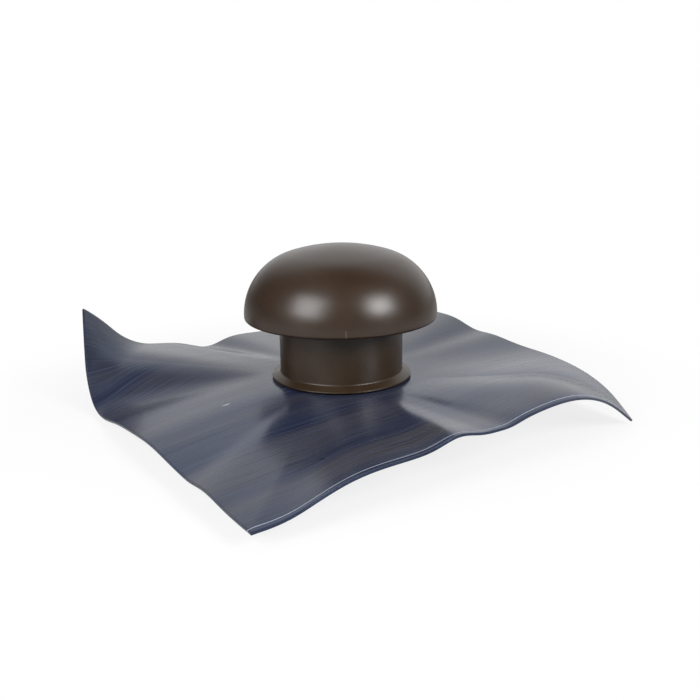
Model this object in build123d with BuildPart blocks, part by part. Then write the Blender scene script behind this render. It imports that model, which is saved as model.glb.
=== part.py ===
from build123d import *
import os
from math import acos, atan2, cos, degrees, exp, hypot, radians, sin

# Roof vent cap: a mushroom hood on a stub pipe, with a soft flashing sheet held under the
# pipe's flange. Millimetres, +Z up. The origin is the centre of the pipe's lower mouth.
# +X and +Y run along the sheet's sides.

# Stub pipe
DUCT_DIAMETER = 100.0        # outside of the duct that plugs in from below
DUCT_CLEARANCE = 0.2         # play of the duct in the pipe, on the radius
PIPE_WALL = 2.8
SOCKET_DEPTH = 32.0          # pipe below the flange's seat
FLANGE_WIDTH = 7.25          # flange beyond the pipe's wall
FLANGE_RISE = 3.3            # height of the flange's sloping top
LIP_THICKNESS = 1.2          # flange at its outer edge
LIP_UNDERCUT = 1.2           # shadow gap between the lip and the sheet
SEAT_WIDTH = 4.0             # part of the flange that bears on the sheet
FLANGE_FILLET = 1.6
PIPE_MOUTH_CHAMFER = 0.8

# Hood
HOOD_DIAMETER = 165.0
HOOD_WALL = 2.5
RIM_HEIGHT = 52.3            # hood's rim above the flange's seat
SKIRT_HEIGHT = 3.0           # straight part of the hood above its rim
SHOULDER_RADIUS = 54.0
CROWN_RADIUS = 150.0
RIM_FILLET = 0.9
PIPE_OVERLAP = 15.0          # how far the pipe's top stands above the hood's rim

# Webs that carry the hood on the pipe's top edge
WEB_COUNT = 4
WEB_THICKNESS = 2.5
WEB_REACH = 13.0             # web beyond the pipe's wall
WEB_LEG = 12.0               # leg of each web down the outside of the pipe
WEB_CLEARANCE = 0.3

# Flashing sheet
SHEET_SIDE = 372.0
SHEET_THICKNESS = 2.0
SHEET_CLEARANCE = 0.3        # round the pipe, and at both faces of the seat
FLAT_WIDTH = 13.0            # flat ring of sheet beyond the pipe's wall
FOLD_RISE = 1.3              # power by which a fold grows from the flat ring to the edge
HANG_DEPTH = 20.0            # how far the drooping side comes down before it lies flat
HANG_EASE = 8.0              # softness of the turn where it lies flat
SHEET_STEPS = 28             # spans of the sheet's curve network along each side

# Folds that run outwards from the pipe:
# bearing from +X and half-width in degrees, lift at the sheet's edge in millimetres
DROOPS = [(177, 25, -90), (-135.5, 10.5, -20)]
RIPPLES = [
    (-97, 6.2, 6.4),
    (-82, 3.7, -1.5),
    (-54, 23, 24.6),
    (22.5, 24, 12),
    (11.5, 7, -4.7),
    (78, 19.5, -3.2),
    (103.5, 6.4, -8.7),
    (137, 15, 15),
    (150, 10.8, -13),
    (186, 14, 4.3),
]

# One corner is turned up and the one across from it hangs: the bearing of each bend, its
# length back from the corner, its radius and its turn
RAISED_BEARING = 137.0
RAISED_LENGTH = 62.0
RAISED_RADIUS = 28.5
RAISED_TURN = 63.0
FALLEN_BEARING = -49.3
FALLEN_LENGTH = 108.0
FALLEN_RADIUS = 106.0
FALLEN_TURN = 48.0

# Retaining ring under the sheet
RING_WIDTH = 9.0
RING_THICKNESS = 3.0
RING_CLEARANCE = 0.2
RING_CHAMFER = 0.8

# Worked out from the sizes above
bore_radius = DUCT_DIAMETER / 2 + DUCT_CLEARANCE
pipe_radius = bore_radius + PIPE_WALL
flange_radius = pipe_radius + FLANGE_WIDTH
seat_z = SOCKET_DEPTH
lip_z = seat_z + LIP_UNDERCUT
rim_z = seat_z + RIM_HEIGHT
pipe_top_z = rim_z + PIPE_OVERLAP
hood_radius = HOOD_DIAMETER / 2
sheet_top_z = seat_z - SHEET_CLEARANCE
ring_top_z = sheet_top_z - SHEET_THICKNESS - SHEET_CLEARANCE
half_side = SHEET_SIDE / 2
flat_radius = pipe_radius + FLAT_WIDTH

os.makedirs("parts", exist_ok=True)


# Stub pipe: one turned section, with the flange's lip standing clear of the sheet
with BuildPart() as stub_pipe:
    with BuildSketch(Plane.XZ):
        with BuildLine():
            Polyline(
                (bore_radius, 0),
                (pipe_radius, 0),
                (pipe_radius, seat_z),
                (pipe_radius + SEAT_WIDTH, seat_z),
                (pipe_radius + SEAT_WIDTH, lip_z),
                (flange_radius, lip_z),
                (flange_radius, lip_z + LIP_THICKNESS),
                (pipe_radius, lip_z + LIP_THICKNESS + FLANGE_RISE),
                (pipe_radius, pipe_top_z),
                (bore_radius, pipe_top_z),
                close=True,
            )
        make_face()
    revolve(axis=Axis.Z)
    circles = stub_pipe.edges().filter_by(GeomType.CIRCLE)
    root = circles.filter_by(lambda e: abs(e.radius - pipe_radius) < 0.01 and lip_z < e.center().Z < pipe_top_z - 1)
    fillet(root, radius=FLANGE_FILLET)
    mouth = stub_pipe.edges().filter_by(GeomType.CIRCLE).group_by(Axis.Z)[0].sort_by(SortBy.LENGTH)[-1]
    chamfer(mouth, length=PIPE_MOUTH_CHAMFER)
stub_pipe.part.label = "stub_pipe"
export_step(stub_pipe.part, "parts/stub_pipe.step")


# Retaining ring: slips over the pipe from below and holds the sheet up to the flange
with BuildPart() as retaining_ring:
    with BuildSketch(Plane.XY.offset(ring_top_z)):
        Circle(pipe_radius + RING_WIDTH)
        Circle(pipe_radius + RING_CLEARANCE, mode=Mode.SUBTRACT)
    extrude(amount=-RING_THICKNESS)
    lower_rim = retaining_ring.edges().filter_by(GeomType.CIRCLE).group_by(Axis.Z)[0].sort_by(SortBy.LENGTH)[-1]
    chamfer(lower_rim, length=RING_CHAMFER)
retaining_ring.part.label = "retaining_ring"
export_step(retaining_ring.part, "parts/retaining_ring.step")


def smooth_max(a, b, ease):
    """The larger of two heights, with the corner between them eased."""
    overlap = max(ease - abs(a - b), 0) / ease
    return max(a, b) + overlap**3 * ease / 6


def fold_lift(folds, bearing):
    """Sum of the folds' lifts at the sheet's edge, on one bearing from the pipe."""
    lift = 0.0
    for fold_bearing, half_width, height in folds:
        away = (bearing - fold_bearing + 180) % 360 - 180
        lift += height * exp(-((away / half_width) ** 2))
    return lift


def bend_corner(x, y, z, bearing, length, radius, turn):
    """Roll a corner of the sheet about a line across it; a negative turn rolls it down."""
    out_x, out_y = cos(radians(bearing)), sin(radians(bearing))
    corner = half_side * (abs(out_x) + abs(out_y))
    past = max(x * out_x + y * out_y - (corner - length), 0)
    angle = min(past / radius, radians(abs(turn)))
    straight = past - radius * angle
    along = radius * sin(angle) + straight * cos(angle)
    up = radius * (1 - cos(angle)) + straight * sin(angle)
    rise = up if turn > 0 else -up
    return x + out_x * (along - past), y + out_y * (along - past), z + rise


def sheet_point(u, v):
    """Where the point (u, v) of the flat sheet lies on the formed sheet's top."""
    reach = hypot(u, v)
    bearing = degrees(atan2(v, u))
    edge = reach * half_side / max(abs(u), abs(v), 1e-6)
    grown = max((reach - flat_radius) / (edge - flat_radius), 0) ** FOLD_RISE if reach > 0 else 0
    hang = smooth_max(fold_lift(DROOPS, bearing) * grown, -HANG_DEPTH, HANG_EASE)
    z = sheet_top_z + hang + fold_lift(RIPPLES, bearing) * grown
    x, y, z = bend_corner(u, v, z, RAISED_BEARING, RAISED_LENGTH, RAISED_RADIUS, RAISED_TURN)
    return bend_corner(x, y, z, FALLEN_BEARING, FALLEN_LENGTH, FALLEN_RADIUS, -FALLEN_TURN)


# Flashing sheet: a network of splines that follow the rule above, skinned and given its
# thickness downwards
stations = [-half_side + SHEET_SIDE * i / SHEET_STEPS for i in range(SHEET_STEPS + 1)]
lengthwise = [Edge.make_spline([Vector(*sheet_point(u, v)) for v in stations]) for u in stations]
crosswise = [Edge.make_spline([Vector(*sheet_point(u, v)) for u in stations]) for v in stations]
sheet_skin = Face.make_gordon_surface(lengthwise, crosswise)
with BuildPart() as flashing_sheet:
    thicken(sheet_skin, amount=-SHEET_THICKNESS, normal_override=(0, 0, 1))
    with BuildSketch(Plane.XY):
        Circle(pipe_radius + SHEET_CLEARANCE)
    extrude(amount=pipe_top_z, mode=Mode.SUBTRACT)
flashing_sheet.part.label = "flashing_sheet"
export_step(flashing_sheet.part, "parts/flashing_sheet.step")


def dome_section(inset):
    """Half-section of the dome, filled to its axis and drawn inside its outer skin."""
    shoulder_turn = degrees(acos((hood_radius - SHOULDER_RADIUS) / (CROWN_RADIUS - SHOULDER_RADIUS)))
    with BuildSketch(Plane.XZ) as section:
        with BuildLine():
            skirt = Line((hood_radius - inset, rim_z), (hood_radius - inset, rim_z + SKIRT_HEIGHT))
            shoulder = JernArc(skirt @ 1, skirt % 1, SHOULDER_RADIUS - inset, shoulder_turn)
            crown = JernArc(shoulder @ 1, shoulder % 1, CROWN_RADIUS - inset, 90 - shoulder_turn)
            Polyline(crown @ 1, (0, rim_z), skirt @ 0)
        make_face()
    return section.sketch


# Air space under the hood: the dome's inside, less the webs that stay standing in it
with BuildPart() as hood_air:
    revolve(dome_section(HOOD_WALL), axis=Axis.Z)
    with BuildSketch(Plane.XZ):
        with BuildLine():
            Polyline(
                (bore_radius, pipe_top_z),
                (pipe_radius + WEB_CLEARANCE, pipe_top_z),
                (pipe_radius + WEB_CLEARANCE, pipe_top_z - WEB_LEG),
                (pipe_radius + WEB_REACH, pipe_top_z - WEB_LEG),
                (pipe_radius + WEB_REACH, rim_z + hood_radius),
                (bore_radius, rim_z + hood_radius),
                close=True,
            )
        make_face()
    web = extrude(amount=WEB_THICKNESS / 2, both=True, mode=Mode.PRIVATE)
    with PolarLocations(0, WEB_COUNT, start_angle=180 / WEB_COUNT):
        add(web, mode=Mode.SUBTRACT)

# Hood: the dome with that air space taken out of it, and a softened rim
with BuildPart() as hood:
    revolve(dome_section(0), axis=Axis.Z)
    add(hood_air.part, mode=Mode.SUBTRACT)
    fillet(hood.edges().filter_by(GeomType.CIRCLE).group_by(Axis.Z)[0], radius=RIM_FILLET)
hood.part.label = "hood"
export_step(hood.part, "parts/hood.step")
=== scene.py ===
from math import acos, cos, pi, radians, sin

import bmesh
import bpy
from mathutils import Matrix, Vector


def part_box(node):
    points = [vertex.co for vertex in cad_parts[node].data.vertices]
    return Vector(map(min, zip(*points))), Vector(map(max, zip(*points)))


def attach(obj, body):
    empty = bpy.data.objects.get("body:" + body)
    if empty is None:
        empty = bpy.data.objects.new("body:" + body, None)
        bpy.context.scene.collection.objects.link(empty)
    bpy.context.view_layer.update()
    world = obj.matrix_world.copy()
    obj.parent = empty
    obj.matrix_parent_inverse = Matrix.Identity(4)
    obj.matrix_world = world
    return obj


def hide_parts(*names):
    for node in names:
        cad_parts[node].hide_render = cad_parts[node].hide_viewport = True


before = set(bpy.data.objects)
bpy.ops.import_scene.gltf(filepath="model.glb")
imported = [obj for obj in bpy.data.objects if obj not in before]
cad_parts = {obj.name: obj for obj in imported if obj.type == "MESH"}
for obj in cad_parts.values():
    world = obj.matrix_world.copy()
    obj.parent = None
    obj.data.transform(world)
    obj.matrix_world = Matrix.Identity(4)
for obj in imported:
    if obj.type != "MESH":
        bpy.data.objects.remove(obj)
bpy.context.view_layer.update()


# Stub pipe
# A short length of rigid brown PVC pipe, moulded in one with a flared flange round its waist.
# The flange's thin lip stands just clear of the sheet that it presses on.

MM = 0.001
pipe_low, pipe_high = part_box("stub_pipe")
pipe_bore = 50.2 * MM
pipe_outside = 53.0 * MM
flange_outside = pipe_high.x
seat_height = 32.0 * MM
seat_outside = 57.0 * MM
lip_height = 33.2 * MM
lip_top = 34.4 * MM
flange_root = 37.7 * MM


def turned(name, section, segments=192):
    """A closed (radius, height) section turned about the upright axis into a smooth mesh."""
    mesh = bpy.data.meshes.new(name)
    shape = bmesh.new()
    rings = []
    for step in range(segments):
        turn = 2 * pi * step / segments
        rings.append([shape.verts.new((r * cos(turn), r * sin(turn), z)) for r, z in section])
    count = len(section)
    for step in range(segments):
        here, there = rings[step], rings[(step + 1) % segments]
        for i in range(count):
            j = (i + 1) % count
            shape.faces.new((here[i], there[i], there[j], here[j]))
    bmesh.ops.remove_doubles(shape, verts=shape.verts, dist=1e-7)
    bmesh.ops.dissolve_degenerate(shape, edges=shape.edges, dist=1e-7)
    bmesh.ops.recalc_face_normals(shape, faces=shape.faces)
    shape.to_mesh(mesh)
    shape.free()
    piece = bpy.data.objects.new(name, mesh)
    bpy.context.scene.collection.objects.link(piece)
    return piece


def smooth_with_edges(piece, angle=32):
    """Smooth shading that keeps the edges sharper than the angle, in degrees."""
    for face in piece.data.polygons:
        face.use_smooth = True
    piece.data.set_sharp_from_angle(angle=radians(angle))


def rounded(corner, before, after, radius, steps=5):
    """Points of an arc that rounds one corner of a section."""
    corner, before, after = Vector(corner), Vector(before), Vector(after)
    to_before, to_after = (before - corner).normalized(), (after - corner).normalized()
    half = to_before.angle(to_after) / 2
    reach = radius / (sin(half) / cos(half))
    centre = corner + (to_before + to_after).normalized() * (radius / sin(half))
    start, end = corner + to_before * reach - centre, corner + to_after * reach - centre
    sweep = start.angle_signed(end)
    points = []
    for i in range(steps + 1):
        turn = -sweep * i / steps
        x = start.x * cos(turn) - start.y * sin(turn)
        y = start.x * sin(turn) + start.y * cos(turn)
        points.append((centre.x + x, centre.y + y))
    return points


def rounded_section(corners):
    """A closed section from (radius, height, rounding) corners."""
    points = []
    for i, (r, z, rounding) in enumerate(corners):
        before, after = corners[i - 1][:2], corners[(i + 1) % len(corners)][:2]
        points += rounded((r, z), before, after, rounding) if rounding else [(r, z)]
    return points


pipe_corners = [
    (pipe_bore, pipe_low.z, 0.5 * MM),
    (pipe_outside, pipe_low.z, 0.8 * MM),
    (pipe_outside, seat_height, 0),
    (seat_outside, seat_height, 0.3 * MM),
    (seat_outside, lip_height, 0.3 * MM),
    (flange_outside, lip_height, 0.35 * MM),
    (flange_outside, lip_top, 0.5 * MM),
    (pipe_outside, flange_root, 1.6 * MM),
    (pipe_outside, pipe_high.z, 0.6 * MM),
    (pipe_bore, pipe_high.z, 0.6 * MM),
]
stub_pipe = turned("stub_pipe_moulding", rounded_section(pipe_corners))
smooth_with_edges(stub_pipe)


def node(tree, kind, place=(0, 0), **settings):
    """A new node at a place in its tree, with the settings that it is given."""
    made = tree.nodes.new(kind)
    made.location = place
    for key, value in settings.items():
        setattr(made, key, value)
    return made


def moulded_skin_group():
    """Fine dimpling, soft clouding and drag marks of a moulded PVC skin, with named amounts."""
    group = bpy.data.node_groups.new("Moulded skin", "ShaderNodeTree")
    face = group.interface
    face.new_socket("Colour", in_out="INPUT", socket_type="NodeSocketColor")
    face.new_socket("Clouded Colour", in_out="INPUT", socket_type="NodeSocketColor")
    face.new_socket("Cloud Size", in_out="INPUT", socket_type="NodeSocketFloat")
    face.new_socket("Drag Marks", in_out="INPUT", socket_type="NodeSocketFloat")
    face.new_socket("Lowest Roughness", in_out="INPUT", socket_type="NodeSocketFloat")
    face.new_socket("Highest Roughness", in_out="INPUT", socket_type="NodeSocketFloat")
    face.new_socket("Colour", in_out="OUTPUT", socket_type="NodeSocketColor")
    face.new_socket("Roughness", in_out="OUTPUT", socket_type="NodeSocketFloat")
    face.new_socket("Height", in_out="OUTPUT", socket_type="NodeSocketFloat")
    link = group.links.new
    given = node(group, "NodeGroupInput", (-900, 0))
    result = node(group, "NodeGroupOutput", (700, 0))
    place = node(group, "ShaderNodeTexCoord", (-900, -300))

    clouds = node(group, "ShaderNodeTexNoise", (-600, 200))
    clouds.inputs["Detail"].default_value = 4
    clouds.inputs["Roughness"].default_value = 0.6
    link(place.outputs["Object"], clouds.inputs["Vector"])
    link(given.outputs["Cloud Size"], clouds.inputs["Scale"])
    soften = node(group, "ShaderNodeMapRange", (-400, 200))
    soften.inputs["From Min"].default_value = 0.38
    soften.inputs["From Max"].default_value = 0.66
    link(clouds.outputs["Fac"], soften.inputs["Value"])
    colour = node(group, "ShaderNodeMix", (-150, 200), data_type="RGBA")
    link(soften.outputs["Result"], colour.inputs["Factor"])
    link(given.outputs["Colour"], colour.inputs["A"])
    link(given.outputs["Clouded Colour"], colour.inputs["B"])

    stretch = node(group, "ShaderNodeMapping", (-700, -250))
    stretch.inputs["Scale"].default_value = (260, 260, 14)
    link(place.outputs["Object"], stretch.inputs["Vector"])
    drag = node(group, "ShaderNodeTexNoise", (-500, -250))
    drag.inputs["Scale"].default_value = 1
    drag.inputs["Detail"].default_value = 3
    link(stretch.outputs["Vector"], drag.inputs["Vector"])
    drag_amount = node(group, "ShaderNodeMath", (-250, -250), operation="MULTIPLY")
    link(drag.outputs["Fac"], drag_amount.inputs[0])
    link(given.outputs["Drag Marks"], drag_amount.inputs[1])

    dimples = node(group, "ShaderNodeTexNoise", (-500, -500))
    dimples.inputs["Scale"].default_value = 900
    dimples.inputs["Detail"].default_value = 2
    link(place.outputs["Object"], dimples.inputs["Vector"])
    height = node(group, "ShaderNodeMath", (0, -350), operation="ADD")
    link(drag_amount.outputs["Value"], height.inputs[0])
    link(dimples.outputs["Fac"], height.inputs[1])

    wear = node(group, "ShaderNodeMix", (0, -50), data_type="FLOAT")
    mottle = node(group, "ShaderNodeMath", (-200, -50), operation="ADD")
    link(soften.outputs["Result"], mottle.inputs[0])
    link(drag_amount.outputs["Value"], mottle.inputs[1])
    link(mottle.outputs["Value"], wear.inputs["Factor"])
    link(given.outputs["Lowest Roughness"], wear.inputs["A"])
    link(given.outputs["Highest Roughness"], wear.inputs["B"])

    link(colour.outputs["Result"], result.inputs["Colour"])
    link(wear.outputs["Result"], result.inputs["Roughness"])
    link(height.outputs["Value"], result.inputs["Height"])
    return group


moulded_skin = moulded_skin_group()


def brown_plastic(name, colour, clouded, cloud_size, drag, roughness):
    """Brown PVC with a moulded skin of its own values."""
    material = bpy.data.materials.new(name)
    material.use_nodes = True
    tree = material.node_tree
    shader = tree.nodes["Principled BSDF"]
    skin = node(tree, "ShaderNodeGroup", (-500, 0), node_tree=moulded_skin)
    skin.inputs["Colour"].default_value = (*colour, 1)
    skin.inputs["Clouded Colour"].default_value = (*clouded, 1)
    skin.inputs["Cloud Size"].default_value = cloud_size
    skin.inputs["Drag Marks"].default_value = drag
    skin.inputs["Lowest Roughness"].default_value = roughness[0]
    skin.inputs["Highest Roughness"].default_value = roughness[1]
    bump = node(tree, "ShaderNodeBump", (-250, -250))
    shader.inputs["IOR"].default_value = 1.42
    bump.inputs["Strength"].default_value = 0.12
    bump.inputs["Distance"].default_value = 0.0002
    tree.links.new(skin.outputs["Height"], bump.inputs["Height"])
    tree.links.new(skin.outputs["Colour"], shader.inputs["Base Color"])
    tree.links.new(skin.outputs["Roughness"], shader.inputs["Roughness"])
    tree.links.new(bump.outputs["Normal"], shader.inputs["Normal"])
    return material


pipe_dark, pipe_light = (0.0195, 0.0105, 0.0045), (0.0265, 0.0155, 0.0080)
pipe_brown = brown_plastic("Brown pipe", pipe_dark, pipe_light, 22, 0.6, (0.30, 0.42))
stub_pipe.data.materials.append(pipe_brown)
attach(stub_pipe, "root")
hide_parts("stub_pipe")


# Flashing sheet
# A square of soft blue-grey calendered sheet, 2 mm thick, with a round hole for the pipe. It is
# dressed by hand: it lies flat under the flange, and folds run out from there to its edges.

sheet_side = 372.0 * MM
sheet_thickness = 2.0 * MM
sheet_hole = 53.3 * MM
sheet_flat = 66.0 * MM
sheet_seat = 31.7 * MM
fold_rise = 1.3
hang_depth = 20.0 * MM
hang_ease = 8.0 * MM
sheet_rings = 72
sheet_spokes = 480

# Bearing from +X and half-width in degrees, lift at the sheet's edge in millimetres
droops = [(177, 25, -90), (-135.5, 10.5, -20)]
ripples = [
    (-97, 6.2, 6.4),
    (-82, 3.7, -1.5),
    (-54, 23, 24.6),
    (22.5, 24, 12),
    (11.5, 7, -4.7),
    (78, 19.5, -3.2),
    (103.5, 6.4, -8.7),
    (137, 15, 15),
    (150, 10.8, -13),
    (186, 14, 4.3),
]


def math(tree, operation, *values):
    """A math node; each value is a number or another node's output."""
    made = node(tree, "ShaderNodeMath", operation=operation)
    for socket, value in zip(made.inputs, values):
        if isinstance(value, (int, float)):
            socket.default_value = value
        else:
            tree.links.new(value, socket)
    return made.outputs["Value"]


def geometry_group(name, inputs, outputs):
    """An empty Geometry Nodes tree with named float, vector or geometry sockets."""
    tree = bpy.data.node_groups.new(name, "GeometryNodeTree")
    for title, kind in inputs:
        tree.interface.new_socket(title, in_out="INPUT", socket_type="NodeSocket" + kind)
    for title, kind in outputs:
        tree.interface.new_socket(title, in_out="OUTPUT", socket_type="NodeSocket" + kind)
    given = node(tree, "NodeGroupInput").outputs
    result = node(tree, "NodeGroupOutput").inputs
    return tree, given, result


def radial_fold_group():
    """One fold that runs out from the pipe, as its lift at the sheet's edge."""
    tree, given, result = geometry_group(
        "Radial fold",
        [("Bearing", "Float"), ("Fold Bearing", "Float"), ("Half Width", "Float"), ("Lift", "Float")],
        [("Lift", "Float")],
    )
    away = math(tree, "WRAP", math(tree, "SUBTRACT", given["Bearing"], given["Fold Bearing"]), pi, -pi)
    share = math(tree, "DIVIDE", away, given["Half Width"])
    bell = math(tree, "EXPONENT", math(tree, "MULTIPLY", math(tree, "MULTIPLY", share, share), -1.0))
    tree.links.new(math(tree, "MULTIPLY", bell, given["Lift"]), result["Lift"])
    return tree


def corner_bend_group():
    """Rolls a corner of the sheet about a line across it."""
    tree, given, result = geometry_group(
        "Corner bend",
        [("Point", "Vector"), ("Bearing", "Float"), ("Start", "Float"), ("Radius", "Float"),
         ("Turn", "Float"), ("Upward", "Float")],
        [("Point", "Vector")],
    )
    split = node(tree, "ShaderNodeSeparateXYZ")
    tree.links.new(given["Point"], split.inputs["Vector"])
    out_x = math(tree, "COSINE", given["Bearing"])
    out_y = math(tree, "SINE", given["Bearing"])
    reach_x = math(tree, "MULTIPLY", split.outputs["X"], out_x)
    reach = math(tree, "MULTIPLY_ADD", split.outputs["Y"], out_y, reach_x)
    past = math(tree, "MAXIMUM", math(tree, "SUBTRACT", reach, given["Start"]), 0.0)
    angle = math(tree, "MINIMUM", math(tree, "DIVIDE", past, given["Radius"]), given["Turn"])
    straight = math(tree, "SUBTRACT", past, math(tree, "MULTIPLY", given["Radius"], angle))
    sine, cosine = math(tree, "SINE", angle), math(tree, "COSINE", angle)
    along = math(tree, "MULTIPLY_ADD", straight, cosine, math(tree, "MULTIPLY", given["Radius"], sine))
    drop = math(tree, "SUBTRACT", given["Radius"], math(tree, "MULTIPLY", given["Radius"], cosine))
    up = math(tree, "MULTIPLY_ADD", straight, sine, drop)
    back = math(tree, "SUBTRACT", along, past)
    moved = node(tree, "ShaderNodeCombineXYZ")
    tree.links.new(math(tree, "MULTIPLY_ADD", back, out_x, split.outputs["X"]), moved.inputs["X"])
    tree.links.new(math(tree, "MULTIPLY_ADD", back, out_y, split.outputs["Y"]), moved.inputs["Y"])
    tree.links.new(math(tree, "MULTIPLY_ADD", up, given["Upward"], split.outputs["Z"]), moved.inputs["Z"])
    tree.links.new(moved.outputs["Vector"], result["Point"])
    return tree


def formed_sheet_group(fold_group, bend_group):
    """The whole sheet: a ring of spokes from the hole to the square edge, folded and bent."""
    tree, given, result = geometry_group(
        "Formed sheet",
        [("Geometry", "Geometry"), ("Side", "Float"), ("Thickness", "Float"), ("Hole Radius", "Float"),
         ("Flat Radius", "Float"), ("Seat Height", "Float"), ("Fold Rise", "Float"), ("Hang Depth", "Float"),
         ("Hang Ease", "Float"), ("Raised Bearing", "Float"), ("Raised Start", "Float"),
         ("Raised Radius", "Float"), ("Raised Turn", "Float"), ("Fallen Bearing", "Float"),
         ("Fallen Start", "Float"), ("Fallen Radius", "Float"), ("Fallen Turn", "Float"),
         ("Material", "Material")],
        [("Geometry", "Geometry")],
    )
    link = tree.links.new
    grid = node(tree, "GeometryNodeMeshGrid")
    grid.inputs["Size X"].default_value = 1
    grid.inputs["Size Y"].default_value = 1
    grid.inputs["Vertices X"].default_value = sheet_rings + 1
    grid.inputs["Vertices Y"].default_value = sheet_spokes + 1
    place = node(tree, "ShaderNodeSeparateXYZ")
    link(node(tree, "GeometryNodeInputPosition").outputs["Position"], place.inputs["Vector"])
    outward = math(tree, "ADD", place.outputs["X"], 0.5)
    bearing = math(tree, "MULTIPLY", math(tree, "ADD", place.outputs["Y"], 0.5), 2 * pi)
    cosine, sine = math(tree, "COSINE", bearing), math(tree, "SINE", bearing)
    widest = math(tree, "MAXIMUM", math(tree, "ABSOLUTE", cosine), math(tree, "ABSOLUTE", sine))
    edge = math(tree, "DIVIDE", math(tree, "MULTIPLY", given["Side"], 0.5), widest)
    span = math(tree, "SUBTRACT", edge, given["Hole Radius"])
    reach = math(tree, "MULTIPLY_ADD", span, outward, given["Hole Radius"])
    flat_x, flat_y = math(tree, "MULTIPLY", reach, cosine), math(tree, "MULTIPLY", reach, sine)

    past_flat = math(tree, "SUBTRACT", reach, given["Flat Radius"])
    share = math(tree, "DIVIDE", past_flat, math(tree, "SUBTRACT", edge, given["Flat Radius"]))
    grown = math(tree, "POWER", math(tree, "MAXIMUM", share, 0.0), given["Fold Rise"])

    def summed(folds):
        """The lifts of a list of folds at the sheet's edge, added up."""
        total = 0.0
        for fold_bearing, half_width, lift in folds:
            fold = node(tree, "GeometryNodeGroup", node_tree=fold_group)
            link(bearing, fold.inputs["Bearing"])
            fold.inputs["Fold Bearing"].default_value = radians(fold_bearing)
            fold.inputs["Half Width"].default_value = radians(half_width)
            fold.inputs["Lift"].default_value = lift * MM
            total = math(tree, "ADD", fold.outputs["Lift"], total)
        return total

    lowest = math(tree, "MULTIPLY", given["Hang Depth"], -1.0)
    hang = math(tree, "SMOOTH_MAX", summed(droops), lowest, given["Hang Ease"])
    at_edge = math(tree, "ADD", hang, summed(ripples))
    lifted = math(tree, "MULTIPLY_ADD", at_edge, grown, given["Seat Height"])
    folded = node(tree, "ShaderNodeCombineXYZ")
    link(flat_x, folded.inputs["X"])
    link(flat_y, folded.inputs["Y"])
    link(lifted, folded.inputs["Z"])

    point = folded.outputs["Vector"]
    for corner, upward in (("Raised", 1.0), ("Fallen", -1.0)):
        bend = node(tree, "GeometryNodeGroup", node_tree=bend_group)
        link(point, bend.inputs["Point"])
        for size in ("Bearing", "Start", "Radius", "Turn"):
            link(given[f"{corner} {size}"], bend.inputs[size])
        bend.inputs["Upward"].default_value = upward
        point = bend.outputs["Point"]

    flat_place = node(tree, "ShaderNodeCombineXYZ")
    link(math(tree, "ADD", math(tree, "DIVIDE", flat_x, given["Side"]), 0.5), flat_place.inputs["X"])
    link(math(tree, "ADD", math(tree, "DIVIDE", flat_y, given["Side"]), 0.5), flat_place.inputs["Y"])
    mapped = node(tree, "GeometryNodeStoreNamedAttribute", data_type="FLOAT2", domain="CORNER")
    mapped.inputs["Name"].default_value = "UVMap"
    link(grid.outputs["Mesh"], mapped.inputs["Geometry"])
    link(flat_place.outputs["Vector"], mapped.inputs["Value"])
    shaped = node(tree, "GeometryNodeSetPosition")
    link(mapped.outputs["Geometry"], shaped.inputs["Geometry"])
    link(point, shaped.inputs["Position"])
    closed = node(tree, "GeometryNodeMergeByDistance")
    closed.inputs["Distance"].default_value = 1e-6
    link(shaped.outputs["Geometry"], closed.inputs["Geometry"])

    lower = node(tree, "GeometryNodeExtrudeMesh")
    lower.inputs["Individual"].default_value = False
    link(closed.outputs["Geometry"], lower.inputs["Mesh"])
    link(math(tree, "MULTIPLY", given["Thickness"], -1.0), lower.inputs["Offset Scale"])
    turned_over = node(tree, "GeometryNodeFlipFaces")
    link(lower.outputs["Mesh"], turned_over.inputs["Mesh"])
    both = node(tree, "GeometryNodeJoinGeometry")
    link(turned_over.outputs["Mesh"], both.inputs["Geometry"])
    link(closed.outputs["Geometry"], both.inputs["Geometry"])
    welded = node(tree, "GeometryNodeMergeByDistance")
    welded.inputs["Distance"].default_value = 1e-6
    link(both.outputs["Geometry"], welded.inputs["Geometry"])
    real = node(tree, "GeometryNodeRealizeInstances")
    link(welded.outputs["Geometry"], real.inputs["Geometry"])
    painted = node(tree, "GeometryNodeSetMaterial")
    link(real.outputs["Geometry"], painted.inputs["Geometry"])
    link(given["Material"], painted.inputs["Material"])
    link(painted.outputs["Geometry"], result["Geometry"])
    return tree


def made_by_nodes(name, tree, values, base=None):
    """A plain mesh object made by a Geometry Nodes tree whose named inputs get these values."""
    holder = base or bpy.data.objects.new(name, bpy.data.meshes.new(name))
    if base is None:
        bpy.context.scene.collection.objects.link(holder)
    maker = holder.modifiers.new("Maker", "NODES")
    maker.node_group = tree
    for item in tree.interface.items_tree:
        if item.in_out == "INPUT" and item.name in values:
            maker[item.identifier] = values[item.name]
    ready = holder.evaluated_get(bpy.context.evaluated_depsgraph_get())
    mesh = bpy.data.meshes.new_from_object(ready)
    holder.modifiers.remove(maker)
    holder.data = mesh
    mesh.name = name
    return holder


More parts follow.
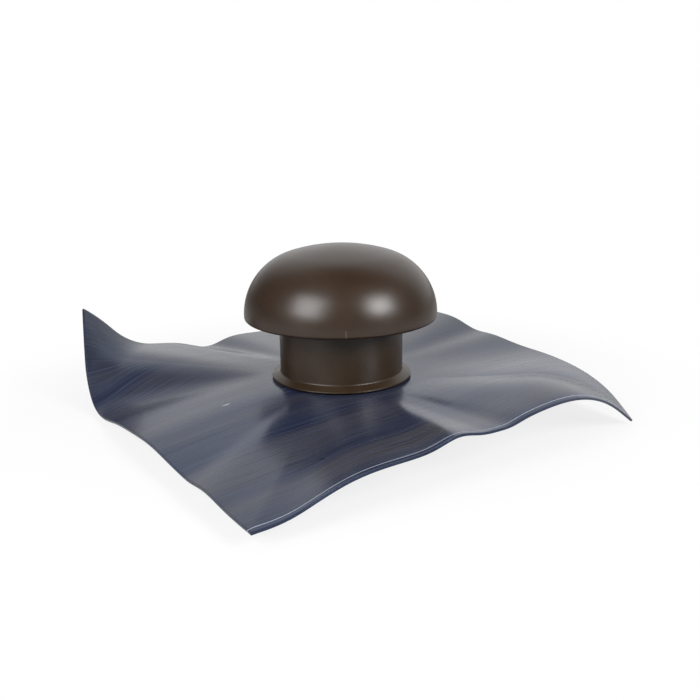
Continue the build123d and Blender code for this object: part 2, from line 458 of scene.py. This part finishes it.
def grey_sheet_material():
    """Blue-grey calendered sheet: rolling streaks, broad tone bands, rubs, specks and a pale line near one
    edge.
    """
    material = bpy.data.materials.new("Grey flashing sheet")
    material.use_nodes = True
    tree = material.node_tree
    link = tree.links.new
    shader = tree.nodes["Principled BSDF"]
    flat = node(tree, "ShaderNodeUVMap", uv_map="UVMap")

    def streaks(along, across, detail, offset):
        """Noise drawn out along the rolling direction, in cycles over the sheet."""
        stretch = node(tree, "ShaderNodeMapping")
        stretch.inputs["Scale"].default_value = (along, across, 1)
        stretch.inputs["Location"].default_value = (offset, offset, offset)
        link(flat.outputs["UV"], stretch.inputs["Vector"])
        noise = node(tree, "ShaderNodeTexNoise")
        noise.inputs["Scale"].default_value = 1
        noise.inputs["Detail"].default_value = detail
        noise.inputs["Roughness"].default_value = 0.6
        link(stretch.outputs["Vector"], noise.inputs["Vector"])
        return noise.outputs["Fac"]

    def ramp(value, low, high):
        """A value stretched to 0 to 1 between two of its levels."""
        made = node(tree, "ShaderNodeMapRange")
        made.inputs["From Min"].default_value = low
        made.inputs["From Max"].default_value = high
        link(value, made.inputs["Value"])
        return made.outputs["Result"]

    def mixed(share, first, second):
        """Two colours mixed by a share."""
        made = node(tree, "ShaderNodeMix", data_type="RGBA")
        link(share, made.inputs["Factor"])
        for socket, colour in ((made.inputs["A"], first), (made.inputs["B"], second)):
            if isinstance(colour, tuple):
                socket.default_value = (*colour, 1)
            else:
                link(colour, socket)
        return made.outputs["Result"]

    fine = streaks(4, 520, 3, 3.1)
    middle = streaks(1.6, 90, 4, 7.7)
    bands = streaks(0.5, 6.5, 2, 1.9)
    colour = mixed(ramp(bands, 0.38, 0.62), (0.009, 0.0135, 0.034), (0.038, 0.038, 0.046))
    colour = mixed(ramp(middle, 0.48, 0.80), colour, (0.029, 0.034, 0.058))
    colour = mixed(ramp(fine, 0.54, 0.80), colour, (0.056, 0.064, 0.096))
    colour = mixed(ramp(fine, 0.42, 0.30), colour, (0.004, 0.006, 0.014))

    # A pale grooved line just inside one edge, a small pale rub and a few dark specks, in millimetres
    pale_line_inset = 4.6
    rub_x, rub_y = 73.0, 183.0
    rub_length, rub_width = 4.0, 1.3
    apart = node(tree, "ShaderNodeSeparateXYZ")
    link(flat.outputs["UV"], apart.inputs["Vector"])
    across_x = math(tree, "MULTIPLY", apart.outputs["X"], sheet_side / MM)
    across_y = math(tree, "MULTIPLY", apart.outputs["Y"], sheet_side / MM)
    # A pale line 4.6 mm inside one edge: paler colour, a little rougher, and a shallow groove in the bump
    pale_line = ramp(math(tree, "ABSOLUTE", math(tree, "SUBTRACT", across_y, pale_line_inset)), 0.65, 0.2)
    rub_along = math(tree, "DIVIDE", math(tree, "SUBTRACT", across_x, rub_x), rub_length)
    rub_across = math(tree, "DIVIDE", math(tree, "SUBTRACT", across_y, rub_y), rub_width)
    rub_reach = math(tree, "ADD", math(tree, "POWER", rub_along, 2.0), math(tree, "POWER", rub_across, 2.0))
    rub = ramp(rub_reach, 1.0, 0.2)
    rub = math(tree, "MULTIPLY", rub, ramp(fine, 0.40, 0.55))
    colour = mixed(pale_line, colour, (0.20, 0.22, 0.28))
    colour = mixed(rub, colour, (0.50, 0.52, 0.58))
    specks = node(tree, "ShaderNodeTexVoronoi", feature="F1")
    specks.inputs["Scale"].default_value = 9
    link(flat.outputs["UV"], specks.inputs["Vector"])
    colour = mixed(ramp(specks.outputs["Distance"], 0.040, 0.022), colour, (0.006, 0.007, 0.012))

    coarse = math(tree, "MULTIPLY_ADD", middle, 0.16, 0.05)
    rough = math(tree, "MULTIPLY_ADD", fine, 0.22, coarse)
    rough = math(tree, "MULTIPLY_ADD", pale_line, 0.2, rough)
    height = math(tree, "MULTIPLY_ADD", middle, 0.25, fine)
    height = math(tree, "MULTIPLY_ADD", pale_line, -1.5, height)
    bump = node(tree, "ShaderNodeBump")
    bump.inputs["Strength"].default_value = 0.09
    bump.inputs["Distance"].default_value = 0.0002
    link(height, bump.inputs["Height"])
    link(colour, shader.inputs["Base Color"])
    link(rough, shader.inputs["Roughness"])
    link(bump.outputs["Normal"], shader.inputs["Normal"])
    shader.inputs["Specular Tint"].default_value = (0.50, 0.68, 1.0, 1)
    shader.inputs["IOR"].default_value = 1.42
    return material


def bend_start(bearing, length):
    """How far from the pipe a corner starts to bend, from its length back from the corner."""
    corner = sheet_side / 2 * (abs(cos(radians(bearing))) + abs(sin(radians(bearing))))
    return corner - length


raised_bearing, raised_length, raised_radius, raised_turn = 137.0, 62.0 * MM, 28.5 * MM, 63.0
fallen_bearing, fallen_length, fallen_radius, fallen_turn = -49.3, 108.0 * MM, 106.0 * MM, 48.0
grey_sheet = grey_sheet_material()
sheet_sizes = {
    "Side": sheet_side,
    "Thickness": sheet_thickness,
    "Hole Radius": sheet_hole,
    "Flat Radius": sheet_flat,
    "Seat Height": sheet_seat,
    "Fold Rise": fold_rise,
    "Hang Depth": hang_depth,
    "Hang Ease": hang_ease,
    "Raised Bearing": radians(raised_bearing),
    "Raised Start": bend_start(raised_bearing, raised_length),
    "Raised Radius": raised_radius,
    "Raised Turn": radians(raised_turn),
    "Fallen Bearing": radians(fallen_bearing),
    "Fallen Start": bend_start(fallen_bearing, fallen_length),
    "Fallen Radius": fallen_radius,
    "Fallen Turn": radians(fallen_turn),
    "Material": grey_sheet,
}
sheet_former = formed_sheet_group(radial_fold_group(), corner_bend_group())
flashing_sheet = made_by_nodes("flashing_sheet_formed", sheet_former, sheet_sizes)
softened = flashing_sheet.modifiers.new("Softened edges", "BEVEL")
softened.width = 0.4 * MM
softened.segments = 2
softened.limit_method = "ANGLE"
softened.angle_limit = radians(50)
ready_sheet = flashing_sheet.evaluated_get(bpy.context.evaluated_depsgraph_get())
softened_mesh = bpy.data.meshes.new_from_object(ready_sheet)
flashing_sheet.modifiers.remove(softened)
flashing_sheet.data = softened_mesh
smooth_with_edges(flashing_sheet, 40)
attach(flashing_sheet, "root")
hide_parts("flashing_sheet")


# Retaining ring
# A flat ring of the same brown PVC that slips over the pipe from below. It holds the sheet up
# against the flange, and only shows from underneath.

ring_low, ring_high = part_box("retaining_ring")
ring_inside = 53.2 * MM
ring_corners = [
    (ring_inside, ring_low.z, 0.3 * MM),
    (ring_high.x, ring_low.z, 0.8 * MM),
    (ring_high.x, ring_high.z, 0.3 * MM),
    (ring_inside, ring_high.z, 0.3 * MM),
]
retaining_ring = turned("retaining_ring_moulding", rounded_section(ring_corners))
smooth_with_edges(retaining_ring)
retaining_ring.data.materials.append(pipe_brown)
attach(retaining_ring, "root")
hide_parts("retaining_ring")


# Hood
# A domed shell of brown PVC, moulded in one with the four webs under it. The webs stand on the
# pipe's top edge, with a leg each down its outside, and leave the air a way out all round.

hood_low, hood_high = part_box("hood")
hood_outside = hood_high.x
hood_wall = 2.5 * MM
rim_height = hood_low.z
skirt_height = 3.0 * MM
shoulder_radius = 54.0 * MM
crown_radius = 150.0 * MM
rim_rounding = 2.1 * MM
inner_rim_rounding = 0.25 * MM
scuff_bearing = radians(-120.0)
scuff_half_width = 0.35 * MM
scuff_height = 7.0 * MM
web_count = 4


def dome_line(inset, arc_steps=28):
    """Points up the dome's skin, from the skirt's top to the axis, drawn inside its outer skin."""
    turn = acos((hood_outside - shoulder_radius) / (crown_radius - shoulder_radius))
    shoulder_centre = (hood_outside - shoulder_radius, rim_height + skirt_height)
    crown_centre = shoulder_centre[1] - (crown_radius - shoulder_radius) * sin(turn)
    points = []
    for i in range(arc_steps + 1):
        a = turn * i / arc_steps
        reach = shoulder_radius - inset
        points.append((shoulder_centre[0] + reach * cos(a), shoulder_centre[1] + reach * sin(a)))
    for i in range(1, arc_steps + 1):
        a = turn + (pi / 2 - turn) * i / arc_steps
        reach = crown_radius - inset
        points.append((max(reach * cos(a), 0.0), crown_centre + reach * sin(a)))
    return points


outer_skin, inner_skin = dome_line(0), dome_line(hood_wall)
outer_foot, inner_foot = (hood_outside, rim_height), (hood_outside - hood_wall, rim_height)
hood_section = inner_skin[::-1]
hood_section += rounded(inner_foot, inner_skin[0], outer_foot, inner_rim_rounding)
hood_section += rounded(outer_foot, inner_foot, outer_skin[0], rim_rounding)
hood_section += outer_skin
hood_shell = turned("hood_moulding", hood_section, 256)


def web_plate():
    """One web as a flat plate in the XZ plane, its top edge inside the dome's wall."""
    web_thickness = 2.5 * MM
    web_inside, web_notch, web_outside = 50.2 * MM, 53.3 * MM, 66.0 * MM
    web_foot = pipe_high.z - 12.0 * MM
    top_edge = [p for p in dome_line(hood_wall / 2) if web_inside < p[0] < web_outside]
    outline = [(web_inside, pipe_high.z), (web_notch, pipe_high.z)]
    outline += [(web_notch, web_foot), (web_outside, web_foot)]
    outline += [(web_outside, top_edge[0][1])] + top_edge + [(web_inside, top_edge[-1][1])]
    shape = bmesh.new()
    near = [shape.verts.new((x, -web_thickness / 2, z)) for x, z in outline]
    far = [shape.verts.new((x, web_thickness / 2, z)) for x, z in outline]
    shape.faces.new(near)
    shape.faces.new(far[::-1])
    for i in range(len(outline)):
        j = (i + 1) % len(outline)
        shape.faces.new((near[i], far[i], far[j], near[j]))
    bmesh.ops.recalc_face_normals(shape, faces=shape.faces)
    plate = bpy.data.objects.new("web_plate", bpy.data.meshes.new("web_plate"))
    shape.to_mesh(plate.data)
    shape.free()
    bpy.context.scene.collection.objects.link(plate)
    return plate


def webbed_hood_group():
    """Sets the web round the axis as often as asked and joins it to the shell."""
    tree, given, result = geometry_group(
        "Webbed hood",
        [("Geometry", "Geometry"), ("Web", "Object"), ("Webs", "Int"), ("First Bearing", "Float"),
         ("Material", "Material")],
        [("Geometry", "Geometry")],
    )
    link = tree.links.new
    places = node(tree, "GeometryNodePoints")
    link(given["Webs"], places.inputs["Count"])
    step = math(tree, "DIVIDE", 2 * pi, given["Webs"])
    index = node(tree, "GeometryNodeInputIndex").outputs["Index"]
    bearing = node(tree, "ShaderNodeCombineXYZ")
    link(math(tree, "MULTIPLY_ADD", index, step, given["First Bearing"]), bearing.inputs["Z"])
    web = node(tree, "GeometryNodeObjectInfo")
    link(given["Web"], web.inputs["Object"])
    set_round = node(tree, "GeometryNodeInstanceOnPoints")
    link(places.outputs["Points"], set_round.inputs["Points"])
    link(web.outputs["Geometry"], set_round.inputs["Instance"])
    link(bearing.outputs["Vector"], set_round.inputs["Rotation"])
    joined = node(tree, "GeometryNodeJoinGeometry")
    link(set_round.outputs["Instances"], joined.inputs["Geometry"])
    link(given["Geometry"], joined.inputs["Geometry"])
    real = node(tree, "GeometryNodeRealizeInstances")
    link(joined.outputs["Geometry"], real.inputs["Geometry"])
    painted = node(tree, "GeometryNodeSetMaterial")
    link(real.outputs["Geometry"], painted.inputs["Geometry"])
    link(given["Material"], painted.inputs["Material"])
    link(painted.outputs["Geometry"], result["Geometry"])
    return tree


hood_dark, hood_light = (0.0205, 0.0113, 0.0060), (0.0260, 0.0153, 0.0096)
hood_brown = brown_plastic("Brown hood", hood_dark, hood_light, 14, 0.15, (0.31, 0.37))


def nick_the_rim(material, bearing, half_width, top):
    """A short pale scuff up from the rim, on the bearing from +X that it is given."""
    tree = material.node_tree
    shader = tree.nodes["Principled BSDF"]
    plain = shader.inputs["Base Color"].links[0].from_socket
    place = node(tree, "ShaderNodeTexCoord")
    split = node(tree, "ShaderNodeSeparateXYZ")
    tree.links.new(place.outputs["Object"], split.inputs["Vector"])
    sideways = math(tree, "MULTIPLY", split.outputs["X"], -sin(bearing))
    sideways = math(tree, "MULTIPLY_ADD", split.outputs["Y"], cos(bearing), sideways)
    outward = math(tree, "MULTIPLY", split.outputs["X"], cos(bearing))
    outward = math(tree, "MULTIPLY_ADD", split.outputs["Y"], sin(bearing), outward)
    narrow = math(tree, "LESS_THAN", math(tree, "ABSOLUTE", sideways), half_width)
    short = math(tree, "LESS_THAN", split.outputs["Z"], top)
    facing = math(tree, "GREATER_THAN", outward, 0.0)
    scuff = math(tree, "MULTIPLY", math(tree, "MULTIPLY", narrow, short), facing)
    mixed = node(tree, "ShaderNodeMix", data_type="RGBA")
    mixed.inputs["B"].default_value = (0.075, 0.058, 0.046, 1)
    tree.links.new(scuff, mixed.inputs["Factor"])
    tree.links.new(plain, mixed.inputs["A"])
    tree.links.new(mixed.outputs["Result"], shader.inputs["Base Color"])


nick_the_rim(hood_brown, scuff_bearing, scuff_half_width, rim_height + scuff_height)
plate = web_plate()
hood_sizes = {"Web": plate, "Webs": web_count, "First Bearing": pi / web_count, "Material": hood_brown}
hood = made_by_nodes("hood_moulding", webbed_hood_group(), hood_sizes, base=hood_shell)
bpy.data.objects.remove(plate)
smooth_with_edges(hood)
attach(hood, "root")
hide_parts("hood")


# Floor and backdrop
# A plain pale floor that keeps the cap's soft shadow. The surround is lit behind the cap and
# dims overhead, at the sides and towards the camera, so that the dome keeps its dark band.

floor_size = 60.0
floor_mesh = bpy.data.meshes.new("studio_floor")
half_floor = floor_size / 2
floor_signs = [(-1, -1), (1, -1), (1, 1), (-1, 1)]
floor_corners = [(half_floor * x, half_floor * y, 0) for x, y in floor_signs]
floor_mesh.from_pydata(floor_corners, [], [(0, 1, 2, 3)])
floor = bpy.data.objects.new("studio_floor", floor_mesh)
bpy.context.scene.collection.objects.link(floor)
floor_paint = bpy.data.materials.new("Pale floor")
floor_paint.use_nodes = True
floor_tree = floor_paint.node_tree
floor_shader = floor_tree.nodes["Principled BSDF"]
floor_shader.inputs["Base Color"].default_value = (0.6, 0.6, 0.6, 1)
floor_shader.inputs["Roughness"].default_value = 0.9
floor_glow = node(floor_tree, "ShaderNodeEmission")
floor_glow.inputs["Strength"].default_value = 1.0
floor_mix = node(floor_tree, "ShaderNodeMixShader")
floor_ray = node(floor_tree, "ShaderNodeLightPath")
floor_place = node(floor_tree, "ShaderNodeTexCoord")
floor_reach = node(floor_tree, "ShaderNodeVectorMath", operation="LENGTH")
floor_tree.links.new(floor_place.outputs["Object"], floor_reach.inputs[0])
floor_fade = node(floor_tree, "ShaderNodeMapRange", interpolation_type="SMOOTHSTEP")
floor_fade.inputs["From Min"].default_value = 0.2
floor_fade.inputs["From Max"].default_value = 0.42
floor_fade.inputs["To Min"].default_value = 0.82
floor_fade.inputs["To Max"].default_value = 1.0
floor_tree.links.new(floor_reach.outputs["Value"], floor_fade.inputs["Value"])
floor_share = math(floor_tree, "MULTIPLY", floor_ray.outputs["Is Camera Ray"], floor_fade.outputs["Result"])
floor_tree.links.new(floor_share, floor_mix.inputs["Fac"])
floor_tree.links.new(floor_shader.outputs["BSDF"], floor_mix.inputs[1])
floor_tree.links.new(floor_glow.outputs["Emission"], floor_mix.inputs[2])
floor_tree.links.new(floor_mix.outputs["Shader"], floor_tree.nodes["Material Output"].inputs["Surface"])
floor_mesh.materials.append(floor_paint)

studio = bpy.data.worlds.new("Studio")
bpy.context.scene.world = studio
studio.use_nodes = True
sky = studio.node_tree
sky_place = node(sky, "ShaderNodeTexCoord")
sky_split = node(sky, "ShaderNodeSeparateXYZ")
sky.links.new(sky_place.outputs["Generated"], sky_split.inputs["Vector"])
sheet_turn = radians(32.69)
away_x, away_y = sin(sheet_turn), cos(sheet_turn)
sky_away = math(sky, "MULTIPLY", sky_split.outputs["X"], away_x)
sky_away = math(sky, "MULTIPLY_ADD", sky_split.outputs["Y"], away_y, sky_away)
sky_front = node(sky, "ShaderNodeMapRange", interpolation_type="SMOOTHSTEP")
sky_front.inputs["From Min"].default_value = 0.1
sky_front.inputs["From Max"].default_value = 0.5
sky_front.inputs["To Min"].default_value = 0.08
sky_front.inputs["To Max"].default_value = 1.15
sky.links.new(sky_away, sky_front.inputs["Value"])
sky_fade = node(sky, "ShaderNodeMapRange", interpolation_type="SMOOTHSTEP")
sky_fade.inputs["From Min"].default_value = 0.80
sky_fade.inputs["From Max"].default_value = 0.98
sky_fade.inputs["To Min"].default_value = 1.0
sky_fade.inputs["To Max"].default_value = 0.1
sky.links.new(sky_split.outputs["Z"], sky_fade.inputs["Value"])
sky_sideways = math(sky, "MULTIPLY", sky_split.outputs["Y"], -away_x)
sky_sideways = math(sky, "MULTIPLY_ADD", sky_split.outputs["X"], away_y, sky_sideways)
sky_sides = node(sky, "ShaderNodeMapRange", interpolation_type="SMOOTHSTEP")
sky_sides.inputs["From Min"].default_value = 0.4
sky_sides.inputs["From Max"].default_value = 0.95
sky_sides.inputs["To Min"].default_value = 1.0
sky_sides.inputs["To Max"].default_value = 0.1
sky_lean = 0.18
sky_off_middle = math(sky, "ABSOLUTE", math(sky, "SUBTRACT", sky_sideways, sky_lean))
sky.links.new(sky_off_middle, sky_sides.inputs["Value"])
sky_room = math(sky, "MULTIPLY", sky_front.outputs["Result"], sky_fade.outputs["Result"])
sky_room = math(sky, "MULTIPLY", sky_room, sky_sides.outputs["Result"])
sky_ray = node(sky, "ShaderNodeLightPath")
sky_level = node(sky, "ShaderNodeMix", data_type="FLOAT")
sky.links.new(sky_ray.outputs["Is Camera Ray"], sky_level.inputs["Factor"])
sky.links.new(sky_room, sky_level.inputs["A"])
sky_level.inputs["B"].default_value = 1.0
sky_light = sky.nodes["Background"]
sky_light.inputs["Color"].default_value = (1, 1, 1, 1)
sky.links.new(sky_level.outputs["Result"], sky_light.inputs["Strength"])


# Camera
# Stands where the photograph was taken from, looking a little down on the sheet's near corner.
# Its place, turn and focal length come from the outlines of the flange, dome and sheet.

camera_distance = 740.0 * MM
camera_height = 261.4 * MM
camera_pitch, camera_yaw, camera_roll = 0.27406, 0.010274, -0.012606
camera_focal_share = 885.1 / 700
ahead = Vector((sin(camera_yaw) * cos(camera_pitch), cos(camera_yaw) * cos(camera_pitch), -sin(camera_pitch)))
level = Vector((cos(camera_yaw), -sin(camera_yaw), 0))
above = level.cross(ahead)
right = cos(camera_roll) * level + sin(camera_roll) * above
upright = cos(camera_roll) * above - sin(camera_roll) * level
to_row = Matrix.Rotation(-sheet_turn, 3, "Z")
eye = Matrix((to_row @ right, to_row @ upright, to_row @ -ahead)).transposed().to_4x4()
eye.translation = to_row @ Vector((0, -camera_distance, camera_height))
lens = bpy.data.cameras.new("photo_camera")
lens.sensor_width = 36
lens.lens = camera_focal_share * lens.sensor_width
lens.clip_start = 0.01
camera = bpy.data.objects.new("photo_camera", lens)
camera.matrix_world = eye
bpy.context.scene.collection.objects.link(camera)
bpy.context.scene.camera = camera


# Lamps
# Two soft boxes, in front to the left and the right, about 30 degrees up. They give the dome
# its pair of soft highlights.


def soft_box(name, bearing, elevation, distance, size, power):
    """An area lamp turned to the cap; the bearing is clockwise from the camera's own."""
    aim = to_row @ Vector((sin(radians(bearing)), -cos(radians(bearing)), 0))
    target = Vector((0, 0, 0.09))
    place = aim * cos(radians(elevation)) + Vector((0, 0, sin(radians(elevation))))
    light = bpy.data.lights.new(name, "AREA")
    light.size = size
    light.energy = power
    lamp = bpy.data.objects.new(name, light)
    lamp.location = target + place * distance
    lamp.rotation_euler = place.to_track_quat("Z", "Y").to_euler()
    bpy.context.scene.collection.objects.link(lamp)


soft_box("left_soft_box", -41, 30, 1.3, 0.72, 21)
soft_box("right_soft_box", 50, 29, 1.3, 0.5, 19)


# Colour view
# The render shows its colours through the Standard view transform.

bpy.context.scene.view_settings.view_transform = "Standard"
